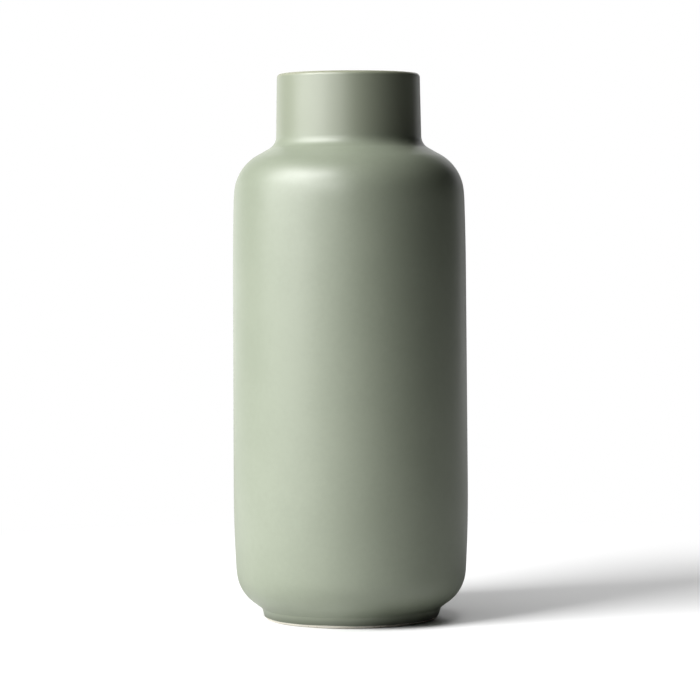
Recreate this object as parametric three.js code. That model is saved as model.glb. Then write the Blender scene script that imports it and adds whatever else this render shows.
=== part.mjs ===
// A stoneware bottle vase, thrown in sections, joined wet and glazed.
// Millimetres, +Z up. The origin is on the vase's axis, on the surface that it stands on.

import * as THREE from 'three';

// Overall sizes, measured over the glaze
const HEIGHT = 300;
const BODY_RADIUS = 64.8;
const NECK_RADIUS = 40;
const FOOT_RADIUS = 47.8;

// Thickness of the clay and of the coats on it
const CLAY_WALL = 3.8;
const CLAY_FLOOR = 5.5;
const OUTER_COAT = 0.4;
const LINER_COAT = 0.35;
const UNDERSIDE_COAT = 0.3;

// Hairline between a coat and the clay under it
const BOND_GAP = 0.02;

// Foot ring: how far it flares up to the crease, its width, and its bare edges
const FOOT_HEIGHT = 6;
const FOOT_FLARE = 1.8;
const FOOT_RING_WIDTH = 7;
const FOOT_RING_DRAFT = 0.8;
const FOOT_EDGE_ROUND = 1.1;
const CREASE_FILLET = 2.5;
const OUTER_BARE_EDGE = 1.4;
const RECESS_BARE_EDGE = 1.2;

// Belly: where the underside turns up into the wall
const BELLY_RISE = 9;
const BELLY_TUCK = 3;
const BELLY_ROUND = 21.5;
const BELLY_EASE_RISE = 11.2;
const BELLY_EASE_TUCK = 1.35;
const BELLY_EASE_ROUND = 34;
const FLOOR_FILLET = 8;

// Wall: a long, very slight barrel
const WIDEST_RISE = 26.2;
const WIDEST_ROUND = 780;
const UPPER_WALL_TAPER = 0.7;
const UPPER_WALL_ROUND = 1500;

// Shoulder: the wall eases in, turns over and slopes up to the neck
const SHOULDER_EASE_RISE = 22.1;
const SHOULDER_EASE_TUCK = 1.35;
const SHOULDER_EASE_ROUND = 74;
const SHOULDER_RISE = 16.5;
const SHOULDER_TUCK = 2.95;
const SHOULDER_ROUND = 25;
const SLOPE_RISE = 12.3;

// Neck and lip
const NECK_HEIGHT = 38.8;
const NECK_FILLET = 7.8;
const NECK_TAPER = 0.75;
const LIP_ROUND = 2.3;
const LIP_OVERLAP = 12;

// Depth of the V-shaped tongue and groove that centres one clay section on the next
const SEAM_DEPTH = 1.2;

// Facets: how many go round the vase, how far one may stand off the arc that it follows, and how
// much of the straight edge between two arcs they may take up
const TURN_SEGMENTS = 32;
const ARC_TOLERANCE = 0.12;
const EDGE_SHARE = 0.98;

// A corner of an outline, with the radius that rounds it
function corner(radius, height, round = 0) {
  return { at: new THREE.Vector2(radius, height), round };
}

// Outlines run so that the solid lies on their left, which is where this points
function leftOf(from, to) {
  const along = to.clone().sub(from).normalize();
  return new THREE.Vector2(-along.y, along.x);
}

// How far an outline turns at a corner: left round a bulge is positive, right into a hollow negative
function turnAt(outline, i) {
  if (i === 0 || i === outline.length - 1) {
    return 0;
  }
  const incoming = outline[i].at.clone().sub(outline[i - 1].at);
  const outgoing = outline[i + 1].at.clone().sub(outline[i].at);
  return Math.atan2(incoming.cross(outgoing), incoming.dot(outgoing));
}

// An outline from its corners, each with the number of steps that its arc needs
function outlineOf(corners) {
  return corners.map((entry, i) => {
    const stepAngle = 2 * Math.acos(1 - Math.min(ARC_TOLERANCE / entry.round, 1));
    return { ...entry, steps: Math.ceil(Math.abs(turnAt(corners, i)) / stepAngle) };
  });
}

// The same outline moved into the solid by a depth: bulges get tighter and hollows wider
function inset(outline, depth) {
  return outline.map(({ at, round, steps }, i) => {
    const before = outline[i - 1]?.at;
    const after = outline[i + 1]?.at;
    const normalIn = before ? leftOf(before, at) : leftOf(at, after);
    const normalOut = after ? leftOf(at, after) : normalIn;
    const mitre = normalIn.clone().add(normalOut).divideScalar(1 + normalIn.dot(normalOut));
    const tighter = Math.sign(turnAt(outline, i)) * depth;
    return { at: at.clone().addScaledVector(mitre, depth), round: Math.max(round - tighter, 0), steps };
  });
}

// The points of an outline, as one list for each corner. Arcs on one edge are limited by its length.
function roundCorners(outline) {
  const turns = outline.map((_, i) => turnAt(outline, i));
  const reach = outline.map(({ round }, i) => round * Math.tan(Math.abs(turns[i]) / 2));
  const limitOn = (i, j) => {
    const room = outline[i].at.distanceTo(outline[j].at) * EDGE_SHARE;
    return Math.min(1, room / (reach[i] + reach[j]));
  };
  return outline.map(({ at, round, steps }, i) => {
    if (reach[i] === 0) {
      return [at];
    }
    const limit = Math.min(limitOn(i - 1, i), limitOn(i, i + 1));
    const backwards = outline[i - 1].at.clone().sub(at).normalize();
    const start = at.clone().addScaledVector(backwards, reach[i] * limit);
    const towardsCentre = leftOf(outline[i - 1].at, at).multiplyScalar(Math.sign(turns[i]));
    const centre = start.clone().addScaledVector(towardsCentre, round * limit);
    return Array.from({ length: steps + 1 }, (_, k) =>
      start.clone().rotateAround(centre, (turns[i] * k) / steps));
  });
}

// The point at a given height on the line through two points
function atHeight(a, b, height) {
  return a.clone().lerp(b, (height - a.y) / (b.y - a.y));
}

const lastOf = (list) => list[list.length - 1];

// Outside of the glazed vase, from the edge of the bare foot up over the lip and into the neck
const bellyHeight = FOOT_HEIGHT + BELLY_RISE;
const bellyEaseHeight = bellyHeight + BELLY_EASE_RISE;
const widestHeight = bellyEaseHeight + WIDEST_RISE;
const neckBaseHeight = HEIGHT - NECK_HEIGHT;
const shoulderHeight = neckBaseHeight - SLOPE_RISE;
const shoulderEaseHeight = shoulderHeight - SHOULDER_RISE;
const upperWallHeight = shoulderEaseHeight - SHOULDER_EASE_RISE;

const footEdge = corner(FOOT_RADIUS, 0);
const crease = corner(FOOT_RADIUS + FOOT_FLARE, FOOT_HEIGHT, CREASE_FILLET);
const neckBase = corner(NECK_RADIUS, neckBaseHeight, NECK_FILLET);
const lip = corner(NECK_RADIUS - NECK_TAPER, HEIGHT, LIP_ROUND);
const clayDepth = OUTER_COAT + BOND_GAP;
const neckThickness = clayDepth + CLAY_WALL + clayDepth;
const neckInward = leftOf(neckBase.at, lip.at).multiplyScalar(neckThickness);
const boreLow = neckBase.at.clone().add(neckInward);
const boreHigh = lip.at.clone().add(neckInward);

const outsideOfGlaze = outlineOf([
  { at: atHeight(footEdge.at, crease.at, OUTER_BARE_EDGE), round: 0 },
  crease,
  corner(BODY_RADIUS - BELLY_TUCK, bellyHeight, BELLY_ROUND),
  corner(BODY_RADIUS - BELLY_EASE_TUCK, bellyEaseHeight, BELLY_EASE_ROUND),
  corner(BODY_RADIUS, widestHeight, WIDEST_ROUND),
  corner(BODY_RADIUS - UPPER_WALL_TAPER, upperWallHeight, UPPER_WALL_ROUND),
  corner(BODY_RADIUS - SHOULDER_EASE_TUCK, shoulderEaseHeight, SHOULDER_EASE_ROUND),
  corner(BODY_RADIUS - SHOULDER_TUCK, shoulderHeight, SHOULDER_ROUND),
  neckBase,
  lip,
  { at: atHeight(boreLow, boreHigh, HEIGHT), round: LIP_ROUND },
  { at: atHeight(boreLow, boreHigh, HEIGHT - LIP_OVERLAP), round: 0 },
]);
const [EDGE, CREASE, BELLY, BELLY_EASE, WIDEST, UPPER_WALL, SHOULDER_EASE, , NECK_BASE, LIP] =
  outsideOfGlaze.keys();

// Face and back of that coat, and the outside of the clay under it
const outsideOfClay = inset(outsideOfGlaze, clayDepth);
const glazeFace = roundCorners(outsideOfGlaze);
const glazeBack = roundCorners(inset(outsideOfGlaze, OUTER_COAT));
const clayFace = roundCorners(outsideOfClay);
const coatEnd = lastOf(outsideOfClay);

// Inside of the clay, from the middle of the floor up to where the outer coat ends in the neck
const seatHeight = lastOf(clayFace[CREASE]).y;
const floorHeight = seatHeight + CLAY_FLOOR;
const innerWall = inset(outsideOfGlaze, clayDepth + CLAY_WALL);
const floorCorner = atHeight(innerWall[CREASE].at, innerWall[BELLY].at, floorHeight);
const insideOfClay = outlineOf([
  corner(0, floorHeight),
  { at: floorCorner, round: FLOOR_FILLET },
  ...innerWall.slice(BELLY, LIP),
  coatEnd,
]);
const insideFace = roundCorners(insideOfClay);
const linerBack = roundCorners(inset(insideOfClay, BOND_GAP));
const linerFace = roundCorners(inset(insideOfClay, BOND_GAP + LINER_COAT));

// Recess in the foot, from the middle of its ceiling out and down to the tread
const recessTop = lastOf(clayFace[CREASE]).x - FOOT_RING_WIDTH;
const recessBottom = recessTop + FOOT_RING_DRAFT;
const recessMiddle = corner(0, seatHeight);
const recessCorner = corner(recessTop, seatHeight);
const recessEdge = corner(recessBottom, 0, FOOT_EDGE_ROUND);
const recessCoatEnd = { at: atHeight(recessCorner.at, recessEdge.at, RECESS_BARE_EDGE), round: 0 };
const recess = outlineOf([recessMiddle, recessCorner, recessCoatEnd]);
const undersideBack = roundCorners(inset(recess, -BOND_GAP));
const undersideFace = roundCorners(inset(recess, -BOND_GAP - UNDERSIDE_COAT));

// The tip of a seam's tongue, midway through the wall and below the line that joins its two edges
function seamTip(outer, inner) {
  const below = leftOf(outer, inner).multiplyScalar(SEAM_DEPTH);
  return outer.clone().lerp(inner, 0.5).add(below);
}

// Where one clay section ends on the next: the edges of the seam, outside, tip and inside
function seamAfter(index) {
  const outer = lastOf(clayFace[index]);
  const inner = lastOf(insideFace[index]);
  return [outer, seamTip(outer, inner), inner];
}

const bellySeam = seamAfter(BELLY_EASE);
const wallSeam = seamAfter(UPPER_WALL);
const neckSeam = seamAfter(NECK_BASE);

// A clay section between two seams: up its outside, across, down its inside and back across
function sectionBetween(lowSeam, highSeam, first, last) {
  return [
    ...lowSeam.toReversed(),
    ...clayFace.slice(first, last + 1).flat().slice(0, -1),
    ...highSeam,
    ...insideFace.slice(first, last + 1).flat().slice(0, -1).reverse(),
  ];
}

// Materials
const bareClay = new THREE.MeshStandardMaterial({ color: 0xebe6d8, roughness: 0.85, metalness: 0 });
const sageGlaze = new THREE.MeshStandardMaterial({ color: 0x919986, roughness: 0.38, metalness: 0 });
const linerGlaze = new THREE.MeshStandardMaterial({ color: 0xa8b299, roughness: 0.3, metalness: 0 });

const vase = new THREE.Group();

// Turns a closed outline round the vase's axis
function addTurned(name, outline, material) {
  const closed = outline[0].x === 0 ? outline : [...outline, outline[0]];
  const geometry = new THREE.LatheGeometry(closed, TURN_SEGMENTS);
  geometry.rotateX(Math.PI / 2);
  const mesh = new THREE.Mesh(geometry, material);
  mesh.name = name;
  vase.add(mesh);
}

// Foot ring: a turned ring, flat on its tread, luted under the base
const clayEdge = outsideOfClay[EDGE];
const clayFoot = { at: atHeight(clayEdge.at, outsideOfClay[CREASE].at, 0), round: FOOT_EDGE_ROUND };
const tread = roundCorners(outlineOf([recessCoatEnd, recessEdge, clayFoot, clayEdge]));
addTurned('foot_ring', [recessCorner.at, ...tread.flat(), ...clayFace[CREASE]], bareClay);

// Base dish: the floor with the belly turned up at its edge
addTurned('base_dish', [
  recessMiddle.at,
  recessCorner.at,
  lastOf(clayFace[CREASE]),
  ...clayFace.slice(BELLY, BELLY_EASE + 1).flat().slice(0, -1),
  ...bellySeam,
  ...insideFace.slice(0, BELLY_EASE + 1).flat().slice(0, -1).reverse(),
], bareClay);

// Body wall: the tall barrel-shaped tube
addTurned('body_wall', sectionBetween(bellySeam, wallSeam, WIDEST, UPPER_WALL), bareClay);

// Shoulder: the dome that closes in to the neck
addTurned('shoulder', sectionBetween(wallSeam, neckSeam, SHOULDER_EASE, NECK_BASE), bareClay);

// Neck collar: a short tube with a full-round lip
addTurned('neck_collar', [
  ...neckSeam.toReversed(),
  ...clayFace.slice(LIP).flat(),
], bareClay);

// Outer glaze: over the whole outside, the lip and the top of the bore
addTurned('outer_glaze', [...glazeFace.flat(), ...glazeBack.flat().reverse()], sageGlaze);

// Liner glaze: over the floor and the inside wall
addTurned('liner_glaze', [...linerBack.flat(), ...linerFace.flat().reverse()], linerGlaze);

// Underside glaze: over the recess, down to the bare tread
addTurned('underside_glaze', [...undersideFace.flat(), ...undersideBack.flat().reverse()], sageGlaze);

export default vase;
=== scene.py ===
import math

import bpy
from mathutils import Matrix, Vector


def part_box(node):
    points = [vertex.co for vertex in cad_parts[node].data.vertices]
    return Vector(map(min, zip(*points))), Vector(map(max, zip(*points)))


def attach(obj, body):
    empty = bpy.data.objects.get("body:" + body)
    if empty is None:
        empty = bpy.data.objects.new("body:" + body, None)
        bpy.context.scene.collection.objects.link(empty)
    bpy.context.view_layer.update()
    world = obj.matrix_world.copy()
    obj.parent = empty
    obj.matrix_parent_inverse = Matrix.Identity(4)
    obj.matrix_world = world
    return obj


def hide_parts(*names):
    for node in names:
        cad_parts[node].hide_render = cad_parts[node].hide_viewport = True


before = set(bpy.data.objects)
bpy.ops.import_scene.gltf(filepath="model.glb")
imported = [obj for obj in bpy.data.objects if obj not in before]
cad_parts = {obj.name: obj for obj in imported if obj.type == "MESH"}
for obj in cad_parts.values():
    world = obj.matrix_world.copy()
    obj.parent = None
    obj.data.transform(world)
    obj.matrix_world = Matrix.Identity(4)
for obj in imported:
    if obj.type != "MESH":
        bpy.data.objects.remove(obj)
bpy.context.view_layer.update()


# Foot ring: the low ring that the vase stands on, thrown in cream stoneware and luted under the base
# while both are wet. Its flared side and its tread are trimmed on the wheel, and the tread is wiped
# clean of glaze so that it doesn't stick to the kiln shelf.
FOOT_RADIUS = 0.0478
FOOT_HEIGHT = 0.006
FOOT_FLARE = 0.0018
FOOT_RING_WIDTH = 0.007
FOOT_RING_DRAFT = 0.0008
FOOT_EDGE_ROUND = 0.0011
CREASE_FILLET = 0.0025
OUTER_BARE_EDGE = 0.0014
RECESS_BARE_EDGE = 0.0012
OUTER_COAT = 0.0004
BOND_GAP = 0.00002
CLAY_DEPTH = OUTER_COAT + BOND_GAP
BELLY_RADIUS = 0.0618
BELLY_HEIGHT = 0.015
BELLY_ROUND = 0.0215
TRIM_GROOVES = 3
TRIM_GROOVE_WIDTH = 0.0005
TRIM_GROOVE_DEPTH = 0.00009
TRIM_GROOVE_STEPS = 6

# Fineness of turned surfaces: steps round the vase, and how long and how flat a step of an arc may be
TURN_STEPS = 192
ARC_STEP = math.radians(4)
ARC_TOLERANCE = 0.00001
SMOOTH_ANGLE = math.radians(40)
MERGE_DISTANCE = 0.000001


def left_of(start, end):
    """Outlines run with the solid on their left, which is where this points."""
    along = (end - start).normalized()
    return Vector((-along.y, along.x))


def turn_at(corners, i):
    """How far an outline turns at a corner: round a bulge is positive, into a hollow negative."""
    if i in (0, len(corners) - 1):
        return 0
    incoming = corners[i][0] - corners[i - 1][0]
    outgoing = corners[i + 1][0] - corners[i][0]
    return math.atan2(incoming.cross(outgoing), incoming.dot(outgoing))


def inset(outline, depth):
    """The same outline moved into the solid: bulges get tighter and hollows wider."""
    corners = list(outline.values())
    moved = {}
    for i, (name, (place, rounding)) in enumerate(outline.items()):
        before = left_of(corners[i - 1][0], place) if i > 0 else left_of(place, corners[1][0])
        after = left_of(place, corners[i + 1][0]) if i < len(corners) - 1 else before
        mitre = (before + after) / (1 + before.dot(after))
        tighter = math.copysign(depth, turn_at(corners, i)) if rounding else 0
        moved[name] = (place + mitre * depth, max(rounding - tighter, 0))
    return moved


def rounded(outline):
    """The points of an outline, as one list for each of its named corners."""
    corners = list(outline.values())
    points = {}
    for i, (name, (place, rounding)) in enumerate(outline.items()):
        turn = turn_at(corners, i)
        if rounding == 0 or turn == 0:
            points[name] = [place]
            continue
        before = corners[i - 1][0]
        start = place + (before - place).normalized() * rounding * math.tan(abs(turn) / 2)
        centre = start + left_of(before, place) * math.copysign(rounding, turn)
        step = min(ARC_STEP, 2 * math.acos(1 - min(ARC_TOLERANCE / rounding, 1)))
        count = math.ceil(abs(turn) / step)
        points[name] = [centre + Matrix.Rotation(turn * k / count, 2) @ (start - centre)
                        for k in range(count + 1)]
    return points


def at_height(low, high, height):
    """The point at a height on the line through two points."""
    return low.lerp(high, (height - low.y) / (high.y - low.y))


def turned(name, outline):
    """Draws an outline of radius and height by extruding a point, and spins it round the axis."""
    bpy.ops.object.select_all(action="DESELECT")
    bpy.ops.mesh.primitive_plane_add(size=FOOT_HEIGHT, location=(0, 0, 0))
    piece = bpy.context.object
    piece.name = name
    piece.data.name = name
    bpy.ops.object.mode_set(mode="EDIT")
    bpy.ops.mesh.merge(type="CENTER")
    bpy.ops.transform.translate(value=(outline[0].x, 0, outline[0].y))
    starts_on_axis = outline[0].x == 0
    ends = outline[1:] if starts_on_axis else [*outline[1:], outline[0]]
    for start, end in zip(outline, ends):
        step = (end.x - start.x, 0, end.y - start.y)
        bpy.ops.mesh.extrude_region_move(TRANSFORM_OT_translate={"value": step})
    bpy.ops.mesh.select_all(action="SELECT")
    bpy.ops.mesh.spin(steps=TURN_STEPS, angle=math.tau, center=(0, 0, 0), axis=(0, 0, 1))
    bpy.ops.mesh.select_all(action="SELECT")
    bpy.ops.mesh.remove_doubles(threshold=MERGE_DISTANCE)
    bpy.ops.mesh.normals_make_consistent(inside=False)
    bpy.ops.object.mode_set(mode="OBJECT")
    bpy.ops.object.shade_smooth_by_angle(angle=SMOOTH_ANGLE)
    return piece


class Shade:
    """One socket of a shader, with the operators that shader maths is written in."""

    def __init__(self, tree, socket=None):
        self.tree = tree
        self.socket = socket

    def node(self, kind, settings, sockets, output=0):
        """Adds a node, with its settings first and then the values or links of its sockets."""
        made = self.tree.nodes.new(kind)
        for name, setting in settings.items():
            setattr(made, name, setting)
        for name, value in sockets.items():
            if isinstance(value, Shade):
                self.tree.links.new(value.socket, made.inputs[name])
            else:
                made.inputs[name].default_value = value
        return Shade(self.tree, made.outputs[output] if made.outputs else None)

    def math(self, operation, first, second):
        return self.node("ShaderNodeMath", {"operation": operation}, {0: first, 1: second})

    def __add__(self, other):
        return self.math("ADD", self, other)

    def __mul__(self, other):
        return self.math("MULTIPLY", self, other)

    __radd__ = __add__
    __rmul__ = __mul__

    def part(self, axis):
        """One coordinate of a place or a direction."""
        return self.node("ShaderNodeSeparateXYZ", {}, {"Vector": self}, axis)

    def rise(self, low, high):
        """A soft step, from 0 where this value is low to 1 where it is high."""
        return self.node("ShaderNodeMapRange", {"interpolation_type": "SMOOTHSTEP"},
                         {"Value": self, "From Min": low, "From Max": high})

    def mix(self, first, second):
        """The first colour where this value is 0 and the second where it is 1."""
        return self.node("ShaderNodeMix", {"data_type": "RGBA"}, {0: self, 6: first, 7: second}, 2)

    def noise(self, place, scale, detail, roughness=0.5):
        return self.node("ShaderNodeTexNoise", {},
                         {"Vector": place, "Scale": scale, "Detail": detail, "Roughness": roughness})


def finish_tree(name):
    """A new material's shader, emptied, with the place of a point on the piece."""
    material = bpy.data.materials.new(name)
    material.use_nodes = True
    material.node_tree.nodes.clear()
    shade = Shade(material.node_tree)
    place = shade.node("ShaderNodeTexCoord", {}, {}, "Object")
    return material, shade, place


def fired_surface(shade, colour, roughness, relief, relief_depth, **constants):
    """The fired surface: a colour, how rough it is, and a fine relief of the given depth."""
    normal = shade.node("ShaderNodeBump", {},
                        {"Height": relief, "Distance": relief_depth, "Strength": 1.0})
    sockets = {"Base Color": colour, "Roughness": roughness, "Normal": normal, **constants}
    surface = shade.node("ShaderNodeBsdfPrincipled", {}, sockets)
    shade.node("ShaderNodeOutputMaterial", {}, {"Surface": surface})


CLAY_PALE = (0.88, 0.85, 0.76, 1)
CLAY_BUFF = (0.79, 0.74, 0.63, 1)
CLAY_SPECK = (0.45, 0.36, 0.26, 1)
CLAY_CLOUD_SCALE = 60
CLAY_GRAIN_SCALE = 2400
CLAY_SPECK_SCALE = 900
CLAY_TONE_LEVELS = (0.3, 0.7)
CLAY_SPECK_LEVELS = (0.74, 0.80)
CLAY_SPECK_STRENGTH = 0.6
CLAY_SPECK_RELIEF = 0.4
CLAY_ROUGHNESS = 0.8
CLAY_GRAIN_ROUGHNESS = 0.15
CLAY_RELIEF = 0.00006


def bare_stoneware():
    """Unglazed cream stoneware: fine sandy grain, faint clouds and a few dark specks."""
    material, shade, place = finish_tree("raw_stoneware")
    clouds = shade.noise(place, CLAY_CLOUD_SCALE, detail=3)
    grain = shade.noise(place, CLAY_GRAIN_SCALE, detail=3, roughness=0.6)
    specks = shade.noise(place, CLAY_SPECK_SCALE, detail=0).rise(*CLAY_SPECK_LEVELS)
    tone = (clouds * 0.5 + grain * 0.5).rise(*CLAY_TONE_LEVELS)
    colour = tone.mix(CLAY_PALE, CLAY_BUFF)
    colour = (specks * CLAY_SPECK_STRENGTH).mix(colour, CLAY_SPECK)
    roughness = CLAY_ROUGHNESS + grain * CLAY_GRAIN_ROUGHNESS
    relief = grain + specks * CLAY_SPECK_RELIEF
    fired_surface(shade, colour, roughness, relief, CLAY_RELIEF)
    return material


# The outside of the glazed vase, as corners of radius and height with the radius that rounds each.
# Every section adds the corners that it reaches.
footing = Vector((FOOT_RADIUS, 0))
crease = Vector((FOOT_RADIUS + FOOT_FLARE, FOOT_HEIGHT))
outside = {
    "edge": (at_height(footing, crease, OUTER_BARE_EDGE), 0),
    "crease": (crease, CREASE_FILLET),
    "belly": (Vector((BELLY_RADIUS, BELLY_HEIGHT)), BELLY_ROUND),
}

clay_corners = inset(outside, CLAY_DEPTH)
clay = rounded(clay_corners)
clay_edge = clay_corners["edge"][0]
clay_footing = at_height(clay_edge, clay_corners["crease"][0], 0)
seat_radius, seat_height = clay["crease"][-1]
recess_top = Vector((seat_radius - FOOT_RING_WIDTH, seat_height))
recess_foot = Vector((recess_top.x + FOOT_RING_DRAFT, 0))
tread = rounded({
    "recess_side": (at_height(recess_top, recess_foot, RECESS_BARE_EDGE), 0),
    "inner_edge": (recess_foot, FOOT_EDGE_ROUND),
    "outer_edge": (clay_footing, FOOT_EDGE_ROUND),
    "outer_side": (clay_edge, 0),
})
groove_pitch = (tread["outer_edge"][0].x - tread["inner_edge"][-1].x) / (TRIM_GROOVES + 1)
trim_grooves = []
for groove in range(1, TRIM_GROOVES + 1):
    middle = tread["inner_edge"][-1].x + groove * groove_pitch
    for k in range(TRIM_GROOVE_STEPS + 1):
        across = k / TRIM_GROOVE_STEPS
        depth = TRIM_GROOVE_DEPTH * math.sin(math.pi * across) ** 2
        trim_grooves.append(Vector((middle + (across - 0.5) * TRIM_GROOVE_WIDTH, depth)))
foot_ring = turned("turned_foot_ring", [
    recess_top, *tread["recess_side"], *tread["inner_edge"], *trim_grooves,
    *tread["outer_edge"], *tread["outer_side"], *clay["crease"],
])
stoneware = bare_stoneware()
foot_ring.data.materials.append(stoneware)
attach(foot_ring, "root")
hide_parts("foot_ring")


# Base dish: the floor of the vase with the belly turned up at its edge, thrown in the same clay as the
# foot ring that carries it. Its rim is cut to a V, and the wall is luted into that with slip.
CLAY_WALL = 0.0038
CLAY_FLOOR = 0.0055
FLOOR_FILLET = 0.008
BELLY_EASE_RADIUS = 0.06345
BELLY_EASE_HEIGHT = 0.0262
BELLY_EASE_ROUND = 0.034
WIDEST_RADIUS = 0.0648
WIDEST_HEIGHT = 0.0524
WIDEST_ROUND = 0.78
SEAM_DEPTH = 0.0012


def thrown_faces():
    """Outside and inside of the clay wall, as far up as the outline goes."""
    return rounded(inset(outside, CLAY_DEPTH)), rounded(inset(outside, CLAY_DEPTH + CLAY_WALL))


def seam_after(name):
    """The V-shaped joint past a corner: its outer edge, its tip below and its inner edge."""
    outer = clay[name][-1]
    inner = hollow[name][-1]
    return [outer, outer.lerp(inner, 0.5) + left_of(outer, inner) * SEAM_DEPTH, inner]


outside["belly_ease"] = (Vector((BELLY_EASE_RADIUS, BELLY_EASE_HEIGHT)), BELLY_EASE_ROUND)
outside["widest"] = (Vector((WIDEST_RADIUS, WIDEST_HEIGHT)), WIDEST_ROUND)
clay, hollow = thrown_faces()
belly_seam = seam_after("belly_ease")
floor_height = seat_height + CLAY_FLOOR
inner_corners = inset(outside, CLAY_DEPTH + CLAY_WALL)
floor_corner = at_height(inner_corners["crease"][0], inner_corners["belly"][0], floor_height)
floor_bend = rounded({
    "middle": (Vector((0, floor_height)), 0),
    "bend": (floor_corner, FLOOR_FILLET),
    "belly": (inner_corners["belly"][0], 0),
})["bend"]
base_dish = turned("thrown_base_dish", [
    Vector((0, seat_height)), recess_top, clay["crease"][-1],
    *clay["belly"], *clay["belly_ease"][:-1], *belly_seam,
    *reversed(hollow["belly_ease"][:-1]), *reversed(hollow["belly"]), *reversed(floor_bend),
    Vector((0, floor_height)),
])
base_dish.data.materials.append(stoneware)
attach(base_dish, "root")
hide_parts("base_dish")


# Body wall: the tall tube with its very slight barrel, thrown open at both ends and luted on the base
# dish, then pared on the wheel until it runs straight on from the belly.
UPPER_WALL_RADIUS = 0.0641
UPPER_WALL_HEIGHT = 0.2103
UPPER_WALL_ROUND = 1.5
SHOULDER_EASE_RADIUS = 0.06345
SHOULDER_EASE_HEIGHT = 0.2324
SHOULDER_EASE_ROUND = 0.074


def section_between(low_seam, high_seam, corners):
    """A clay section between two seams: up its outside, across, down its inside and back."""
    outer = [point for name in corners for point in clay[name]]
    inner = [point for name in corners for point in hollow[name]]
    return [*reversed(low_seam), *outer[:-1], *high_seam, *reversed(inner[:-1])]


outside["upper_wall"] = (Vector((UPPER_WALL_RADIUS, UPPER_WALL_HEIGHT)), UPPER_WALL_ROUND)
outside["shoulder_ease"] = (Vector((SHOULDER_EASE_RADIUS, SHOULDER_EASE_HEIGHT)), SHOULDER_EASE_ROUND)
clay, hollow = thrown_faces()
wall_seam = seam_after("upper_wall")
body_wall = turned("thrown_body_wall", section_between(
    belly_seam, wall_seam, ["widest", "upper_wall"]))
body_wall.data.materials.append(stoneware)
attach(body_wall, "root")
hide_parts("body_wall")


# Shoulder: the dome that closes the body in to the neck, thrown upside down and luted on the wall. The
# clay turns over in one tight bend, slopes up and sweeps into the neck in a small hollow.
SHOULDER_RADIUS = 0.06185
SHOULDER_HEIGHT = 0.2489
SHOULDER_ROUND = 0.025
NECK_RADIUS = 0.04
NECK_BASE_HEIGHT = 0.2612
NECK_FILLET = 0.0078
LIP_RADIUS = 0.03925
LIP_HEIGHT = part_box("outer_glaze")[1].z
LIP_ROUND = 0.0023

outside["shoulder"] = (Vector((SHOULDER_RADIUS, SHOULDER_HEIGHT)), SHOULDER_ROUND)
outside["neck_base"] = (Vector((NECK_RADIUS, NECK_BASE_HEIGHT)), NECK_FILLET)
outside["lip"] = (Vector((LIP_RADIUS, LIP_HEIGHT)), LIP_ROUND)
clay, hollow = thrown_faces()
neck_seam = seam_after("neck_base")
shoulder = turned("thrown_shoulder", section_between(
    wall_seam, neck_seam, ["shoulder_ease", "shoulder", "neck_base"]))
shoulder.data.materials.append(stoneware)
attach(shoulder, "root")
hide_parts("shoulder")


# Neck collar: a short tube that narrows a little to its lip, luted on the shoulder. The lip is pressed
# round between finger and thumb with a strip of leather as it turns.
LIP_OVERLAP = 0.012

neck_thickness = CLAY_DEPTH + CLAY_WALL + CLAY_DEPTH
neck_inward = left_of(outside["neck_base"][0], outside["lip"][0]) * neck_thickness
bore_low = outside["neck_base"][0] + neck_inward
bore_high = outside["lip"][0] + neck_inward
outside["bore_lip"] = (at_height(bore_low, bore_high, LIP_HEIGHT), LIP_ROUND)
outside["bore"] = (at_height(bore_low, bore_high, LIP_HEIGHT - LIP_OVERLAP), 0)
clay, hollow = thrown_faces()
neck_collar = turned("thrown_neck_collar", [
    *reversed(neck_seam), *clay["lip"], *clay["bore_lip"], *clay["bore"],
])
neck_collar.data.materials.append(stoneware)
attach(neck_collar, "root")
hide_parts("neck_collar")


# Outer glaze: one even coat of satin sage-green glaze, poured over the outside, the lip and the top of
# the bore, and wiped back from the tread with a sponge. It melts into a rounded, slightly wavy edge at
# the foot and looks pale over the lip. Its colour darkens towards the foot in a band of painted shade.
COAT_EDGE_ROUND = 0.0002
EDGE_WAVE = 0.0001
EDGE_WAVE_REACH = 0.0022
# Each wave of the edge: how many go round the foot, its share of the height, and where it starts
EDGE_WAVES = ((3, 1.0, 0.6), (7, 0.7, 2.1), (13, 0.4, 0.0))

SAGE = (0.284, 0.318, 0.240, 1)
SAGE_DEEP = (0.266, 0.300, 0.224, 1)
SAGE_NECK = (0.256, 0.280, 0.208, 1)
# Painted shade: the dark colour that the glaze takes low on the foot, under the belly
SAGE_FOOT_SHADE = (0.11, 0.125, 0.088, 1)
SAGE_LIP = (0.36, 0.37, 0.26, 1)
SAGE_CLOUD_SCALE = 26
SAGE_MOTTLE_SCALE = 320
SAGE_PEEL_SCALE = 620
SAGE_TURNING_SCALE = 330
SAGE_TONE_LEVELS = (0.35, 0.65)
NECK_TINT_LEVELS = (NECK_BASE_HEIGHT - 0.002, NECK_BASE_HEIGHT + 0.010)
NECK_TINT = 0.8
FOOT_SHADE_LEVELS = (FOOT_HEIGHT + 0.0008, OUTER_BARE_EDGE)
FOOT_SHADE_STRENGTH = 0.8
LIP_TINT_LEVELS = (LIP_HEIGHT - 0.0022, LIP_HEIGHT - 0.0004)
LIP_TINT = 0.7
SAGE_ROUGHNESS = 0.355
SAGE_CLOUD_ROUGHNESS = 0.06
SAGE_MOTTLE_ROUGHNESS = 0.03
GLAZE_RELIEF = 0.000012
SAGE_IOR = 1.6


def points_along(outline):
    """All points of an outline in a row."""
    return [point for points in rounded(outline).values() for point in points]


def coat_outline(face, back):
    """The closed outline of a coat, with its two ends melted round."""
    first, *_, last = face
    melted = {"start": back[first], **face, "end": back[last]}
    for end in (first, last):
        melted[end] = (face[end][0], COAT_EDGE_ROUND)
    return [*points_along(melted)[1:-1], *reversed(points_along(back))]


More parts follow.
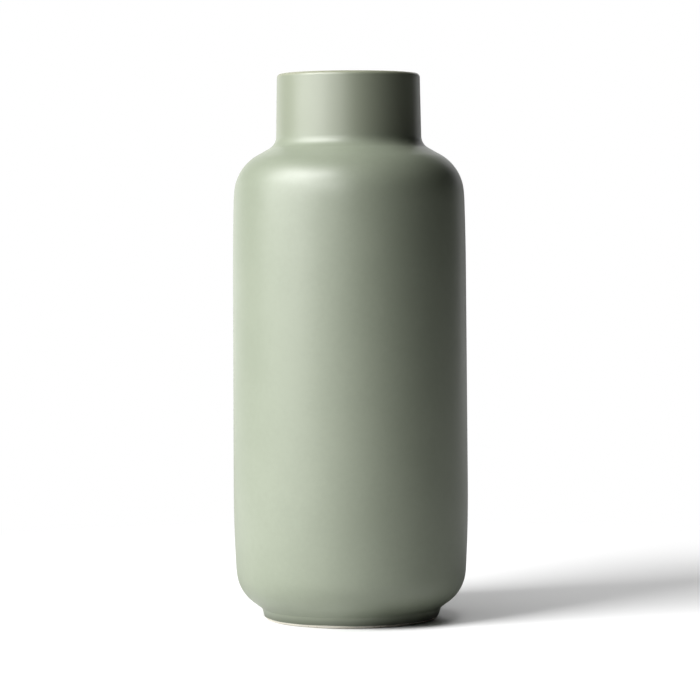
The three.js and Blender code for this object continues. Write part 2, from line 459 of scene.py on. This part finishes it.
def sage_glaze():
    """Satin sage glaze: faint clouds, deeper on the neck, painted shade towards the foot, pale over the
    lip.
    """
    material, shade, place = finish_tree("satin_sage")
    height = place.part("Z")
    level = shade.node("ShaderNodeCombineXYZ", {}, {"Z": height})
    clouds = shade.noise(place, SAGE_CLOUD_SCALE, detail=3, roughness=0.55)
    mottle = shade.noise(place, SAGE_MOTTLE_SCALE, detail=2, roughness=0.6)
    peel = shade.noise(place, SAGE_PEEL_SCALE, detail=1)
    turning = shade.noise(level, SAGE_TURNING_SCALE, detail=2, roughness=0.6)
    tone = (clouds * 0.7 + mottle * 0.3).rise(*SAGE_TONE_LEVELS)
    colour = tone.mix(SAGE, SAGE_DEEP)
    colour = (height.rise(*NECK_TINT_LEVELS) * NECK_TINT).mix(colour, SAGE_NECK)
    # Painted shade: the glaze darkens towards the foot, where shade falls under the belly
    colour = (height.rise(*FOOT_SHADE_LEVELS) * FOOT_SHADE_STRENGTH).mix(colour, SAGE_FOOT_SHADE)
    colour = (height.rise(*LIP_TINT_LEVELS) * LIP_TINT).mix(colour, SAGE_LIP)
    roughness = SAGE_ROUGHNESS + clouds * SAGE_CLOUD_ROUGHNESS + mottle * SAGE_MOTTLE_ROUGHNESS
    relief = peel * 0.6 + turning * 0.4
    fired_surface(shade, colour, roughness, relief, GLAZE_RELIEF, IOR=SAGE_IOR)
    return material


sage_coat = turned("sage_glaze_coat", coat_outline(outside, inset(outside, OUTER_COAT)))
for vertex in sage_coat.data.vertices:
    turn = math.atan2(vertex.co.y, vertex.co.x)
    wave = sum(share * math.sin(count * turn + start) for count, share, start in EDGE_WAVES)
    nearness = max(0, 1 - (vertex.co.z - OUTER_BARE_EDGE) / EDGE_WAVE_REACH)
    vertex.co.z += EDGE_WAVE * wave * nearness
sage = sage_glaze()
sage_coat.data.materials.append(sage)
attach(sage_coat, "root")
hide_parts("outer_glaze")


# Liner glaze: the coat that makes the inside hold water, poured in, swilled round and tipped out. The
# rings of the throwing show through it on the wall.
LINER_COAT = 0.00035
LINER_CORNERS = ("belly", "belly_ease", "widest", "upper_wall", "shoulder_ease", "shoulder", "neck_base")
RING_PITCH = 0.0085
RING_DEPTH = 0.00012
RING_STEPS = 8
LINER_PALE = (0.45, 0.50, 0.37, 1)
LINER_DEEP = (0.33, 0.39, 0.27, 1)
LINER_CLOUD_SCALE = 34
LINER_MOTTLE_SCALE = 420
LINER_TONE_LEVELS = (0.3, 0.7)
LINER_POOL_LEVELS = (floor_height + 0.012, floor_height)
LINER_POOL_TINT = 0.4
LINER_ROUGHNESS = 0.26
LINER_MOTTLE_ROUGHNESS = 0.1
LINER_IOR = 1.5


def liner_glaze():
    """Semi-gloss liner glaze: clouded and mottled, deeper where it lies on the floor."""
    material, shade, place = finish_tree("liner_gloss")
    clouds = shade.noise(place, LINER_CLOUD_SCALE, detail=3, roughness=0.6)
    mottle = shade.noise(place, LINER_MOTTLE_SCALE, detail=2, roughness=0.6)
    tone = (clouds * 0.6 + mottle * 0.4).rise(*LINER_TONE_LEVELS)
    colour = tone.mix(LINER_PALE, LINER_DEEP)
    colour = (place.part("Z").rise(*LINER_POOL_LEVELS) * LINER_POOL_TINT).mix(colour, LINER_DEEP)
    roughness = LINER_ROUGHNESS + mottle * LINER_MOTTLE_ROUGHNESS
    fired_surface(shade, colour, roughness, mottle, GLAZE_RELIEF, IOR=LINER_IOR)
    return material


inner_corners = inset(outside, CLAY_DEPTH + CLAY_WALL)
inner_face = {
    "middle": (Vector((0, floor_height)), 0),
    "bend": (floor_corner, FLOOR_FILLET),
    **{name: inner_corners[name] for name in LINER_CORNERS},
    "bore": inset(outside, CLAY_DEPTH)["bore"],
}
liner_back = points_along(inset(inner_face, BOND_GAP))
liner_face = points_along(inset(inner_face, BOND_GAP + LINER_COAT))
ringed_face = []
for start, end in zip(liner_face, liner_face[1:]):
    count = max(1, math.ceil((end.y - start.y) / (RING_PITCH / RING_STEPS)))
    ringed_face += [start.lerp(end, k / count) for k in range(count)]
ringed_face.append(liner_face[-1])
for point in ringed_face:
    if WIDEST_HEIGHT < point.y < UPPER_WALL_HEIGHT:
        swell = min(point.y - WIDEST_HEIGHT, UPPER_WALL_HEIGHT - point.y, RING_PITCH) / RING_PITCH
        point.x -= RING_DEPTH * swell * (1 - math.cos(math.tau * point.y / RING_PITCH)) / 2
liner_coat = turned("liner_glaze_coat", [*liner_back, *reversed(ringed_face)])
liner_coat.data.materials.append(liner_glaze())
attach(liner_coat, "root")
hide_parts("liner_glaze")


# Underside glaze: the same sage coat in the recess inside the foot ring, brushed on and wiped back from
# the tread as the outside is.
UNDERSIDE_COAT = 0.0003
RECESS_FILLET = 0.0012

recess = {
    "middle": (Vector((0, seat_height)), 0),
    "corner": (recess_top, 0),
    "edge": (at_height(recess_top, recess_foot, RECESS_BARE_EDGE), 0),
}
underside_back = inset(recess, -BOND_GAP)
underside_face = inset(recess, -BOND_GAP - UNDERSIDE_COAT)
underside_face["corner"] = (underside_face["corner"][0], RECESS_FILLET)
underside_coat = turned("underside_glaze_coat", [
    *points_along(underside_face), *reversed(points_along(underside_back)),
])
underside_coat.data.materials.append(sage)
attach(underside_coat, "root")
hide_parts("underside_glaze")


# Floor: a wide sheet of white paper that takes the shadow and fades to plain white all round. Its colour
# for the light it returns to the vase is painted light and shade: most from the front and the lit side of
# the foot, less from behind and the shaded side, hardly any from far off; reflections see a painted glow.
FLOOR_RADIUS = 3.0
FLOOR_DROP = 0.0001
PAPER = (0.96, 0.96, 0.96, 1)
# Colours the paper returns to the vase: painted light in front and on the lit side, painted shade
# elsewhere
PAINTED_BOUNCE_FRONT = (0.72, 0.72, 0.72, 1)
PAINTED_SHADE_BEHIND = (0.36, 0.36, 0.36, 1)
PAINTED_SHADE_FAR = (0.10, 0.10, 0.10, 1)
PAINTED_LIGHT_LIT_FOOT = (0.98, 0.98, 0.98, 1)
PAINTED_SHADE_FOOT = (0.08, 0.08, 0.08, 1)
CONTACT_SHADE = 0.5
# Painted reflection: how brightly the paper glows in the glaze's reflections, most on the lit side
PAINTED_REFLECTION_LEAST = 0.56
PAINTED_REFLECTION_GAIN = 1.8
FRONT_SIDE = (-0.5, -0.85, 0)
LIT_SIDE = (-0.85, -0.5, 0)
# How far towards a side each change begins, and where it is full
FRONT_TURN = (-0.33, 0.9)
FOOT_TURN = (0, 0.75)
PAINTED_REFLECTION_TURN = (-0.32, 0.95)
# How far from the axis each change begins, and where it is full
CONTACT_REACH = (0.060, 0.0485)
FOOT_REACH = (0.050, 0.080)
FAR_REACH = (0.26, 0.48)
SEEN_FADE = (0.3, 0.52)
PAINTED_REFLECTION_FADE = (0.2, 0.36)

bpy.ops.object.select_all(action="DESELECT")
bpy.ops.mesh.primitive_circle_add(vertices=TURN_STEPS, radius=FLOOR_RADIUS, fill_type="NGON",
                                  location=(0, 0, -FLOOR_DROP))
floor = bpy.context.object
floor.name = "paper_floor"
paper, shade, place = finish_tree("white_paper")
seen = shade.node("ShaderNodeLightPath", {}, {}, "Is Camera Ray")
mirrored = shade.node("ShaderNodeLightPath", {}, {}, "Is Glossy Ray")
distance = shade.node("ShaderNodeVectorMath", {"operation": "LENGTH"}, {0: place}, "Value")
outward = shade.node("ShaderNodeVectorMath", {"operation": "NORMALIZE"}, {0: place})
to_front, to_light = [
    shade.node("ShaderNodeVectorMath", {"operation": "DOT_PRODUCT"}, {0: outward, 1: side}, "Value")
    for side in (FRONT_SIDE, LIT_SIDE)]
# Painted light and shade round the foot, in the colour that the paper returns to the vase
foot_painted_bounce = to_light.rise(*FOOT_TURN).mix(PAINTED_SHADE_FOOT, PAINTED_LIGHT_LIT_FOOT)
foot_painted_bounce = (distance.rise(*CONTACT_REACH) * CONTACT_SHADE).mix(foot_painted_bounce, PAINTED_SHADE_FOOT)
near_painted_bounce = to_front.rise(*FRONT_TURN).mix(PAINTED_SHADE_BEHIND, PAINTED_BOUNCE_FRONT)
near_painted_bounce = distance.rise(*FOOT_REACH).mix(foot_painted_bounce, near_painted_bounce)
painted_bounce = distance.rise(*FAR_REACH).mix(near_painted_bounce, PAINTED_SHADE_FAR)
lit = shade.node("ShaderNodeBsdfDiffuse", {}, {"Color": seen.mix(painted_bounce, PAPER)})
# The camera sees plain white; reflections see a painted glow, brighter towards the lit side
seen_white_and_painted_reflection = seen + mirrored * (PAINTED_REFLECTION_LEAST + to_light.rise(*PAINTED_REFLECTION_TURN) * PAINTED_REFLECTION_GAIN)
emitted_white_and_reflection = shade.node("ShaderNodeEmission", {}, {"Color": seen_white_and_painted_reflection})
fade = seen * distance.rise(*SEEN_FADE) + mirrored * distance.rise(*PAINTED_REFLECTION_FADE)
surface = shade.node("ShaderNodeMixShader", {}, {0: fade, 1: lit, 2: emitted_white_and_reflection})
shade.node("ShaderNodeOutputMaterial", {}, {"Surface": surface})
floor.data.materials.append(paper)


# Light: a large soft box high on the left with a smaller one above it, a long low strip, a weak lamp
# behind and a white card behind each side light the vase. Four panels show only as reflections: the sheen
# in front and the shoulder's rims. The paper has its own lamps, one for the shadow and two that soften it.
MIDDLE = Vector((0, 0, 0.16))
UNDERFOOT = Vector((0, 0, 0))
VASE_LAMP_DISTANCE = 1.8
WHITE = (1, 1, 1, 1)
BACKDROP_TURN = (0.93, 0.985)
BACKDROP_GLOW = 0.5


def area_lamp(name, receivers, aim, distance, turn, rise, size, level):
    """A lamp at a distance from its aim, so many degrees round to the right of the camera and so many up.
    Its level is how white a white sheet facing it at the aim would look."""
    data = bpy.data.lights.new(name, "AREA")
    data.shape = "RECTANGLE"
    data.size, data.size_y = size
    data.energy = level * math.pi ** 2 * distance ** 2
    lamp = bpy.data.objects.new(name, data)
    bearing = Matrix.Rotation(math.radians(turn), 3, "Z") @ Matrix.Rotation(math.radians(-rise), 3, "X")
    towards = bearing @ Vector((0, -1, 0))
    lamp.location = aim + towards * distance
    lamp.rotation_euler = (-towards).to_track_quat("-Z", "Y").to_euler()
    lamp.light_linking.receiver_collection = receivers
    bpy.context.scene.collection.objects.link(lamp)
    return lamp


vase_only = bpy.data.collections.new("vase_only")
for piece in (foot_ring, base_dish, body_wall, shoulder, neck_collar,
              sage_coat, liner_coat, underside_coat):
    vase_only.objects.link(piece)
on_vase = {"receivers": vase_only, "aim": MIDDLE, "distance": VASE_LAMP_DISTANCE}
area_lamp("soft_box", **on_vase, turn=-70, rise=37, size=(1.4, 0.93), level=1.06)
area_lamp("high_box", **on_vase, turn=-51, rise=47, size=(1.0, 0.5), level=0.50)
area_lamp("low_strip", **on_vase, turn=-64, rise=10, size=(1.8, 0.4), level=0.55)
area_lamp("back_lamp", **on_vase, turn=180, rise=30, size=(0.75, 0.75), level=0.12)
area_lamp("left_card", **on_vase, turn=-149, rise=3, size=(1.1, 0.72), level=0.104)
area_lamp("right_card", **on_vase, turn=146, rise=2, size=(0.7, 0.72), level=0.033)
reflected_panels = [
    area_lamp("low_sheen", **on_vase, turn=-26, rise=22, size=(1.24, 0.45), level=0.45),
    area_lamp("high_sheen", **on_vase, turn=-28, rise=50, size=(0.45, 0.45), level=0.21),
    area_lamp("left_rim", **on_vase, turn=-161, rise=23, size=(0.6, 0.7), level=0.036),
    area_lamp("right_rim", **on_vase, turn=160, rise=20, size=(0.65, 0.65), level=0.046),
]
for panel in reflected_panels:
    panel.visible_diffuse = False

paper_only = bpy.data.collections.new("paper_only")
paper_only.objects.link(floor)
on_paper = {"receivers": paper_only, "aim": UNDERFOOT}
area_lamp("shadow_lamp", **on_paper, distance=1.6, turn=-53.8, rise=36.2, size=(0.78, 0.74), level=1.52)
area_lamp("fill_lamp", **on_paper, distance=1.5, turn=-10, rise=87, size=(0.9, 0.9), level=0.33)
area_lamp("back_fill", **on_paper, distance=1.6, turn=165, rise=28, size=(0.8, 0.6), level=0.42)

# Around it all the studio is white to the camera and dark to the vase, but for a patch straight behind
# that shows at the edges of the glaze
world = bpy.data.worlds.new("studio")
bpy.context.scene.world = world
world.use_nodes = True
world.node_tree.nodes.clear()
studio = Shade(world.node_tree)
seen = studio.node("ShaderNodeLightPath", {}, {}, "Is Camera Ray")
seen_through = studio.node("ShaderNodeLightPath", {}, {}, "Is Transmission Ray")
mirrored = studio.node("ShaderNodeLightPath", {}, {}, "Is Glossy Ray")
behind = studio.node("ShaderNodeTexCoord", {}, {}, "Generated").part("Y").rise(*BACKDROP_TURN)
strength = studio.math("MAXIMUM", seen, seen_through) + mirrored * behind * BACKDROP_GLOW
background = studio.node("ShaderNodeBackground", {}, {"Color": WHITE, "Strength": strength})
studio.node("ShaderNodeOutputWorld", {}, {"Surface": background})


# Camera: a long lens a little above the middle of the vase, looking slightly down, turned a hair
# clockwise as the photograph is.
CAMERA_DISTANCE = 1.5991
CAMERA_HEIGHT = 0.219
CAMERA_ASIDE = 0.00045
CAMERA_DOWN = math.radians(2.542)
CAMERA_ROLL = math.radians(0.35)
CAMERA_LENS = 149.17
SENSOR = 36

camera_data = bpy.data.cameras.new("camera")
camera_data.sensor_width = SENSOR
camera_data.lens = CAMERA_LENS
camera = bpy.data.objects.new("camera", camera_data)
camera.location = (CAMERA_ASIDE, -CAMERA_DISTANCE, CAMERA_HEIGHT)
camera.rotation_euler = (math.pi / 2 - CAMERA_DOWN, CAMERA_ROLL, 0)
bpy.context.scene.collection.objects.link(camera)
bpy.context.scene.camera = camera
bpy.context.scene.view_settings.view_transform = "Standard"
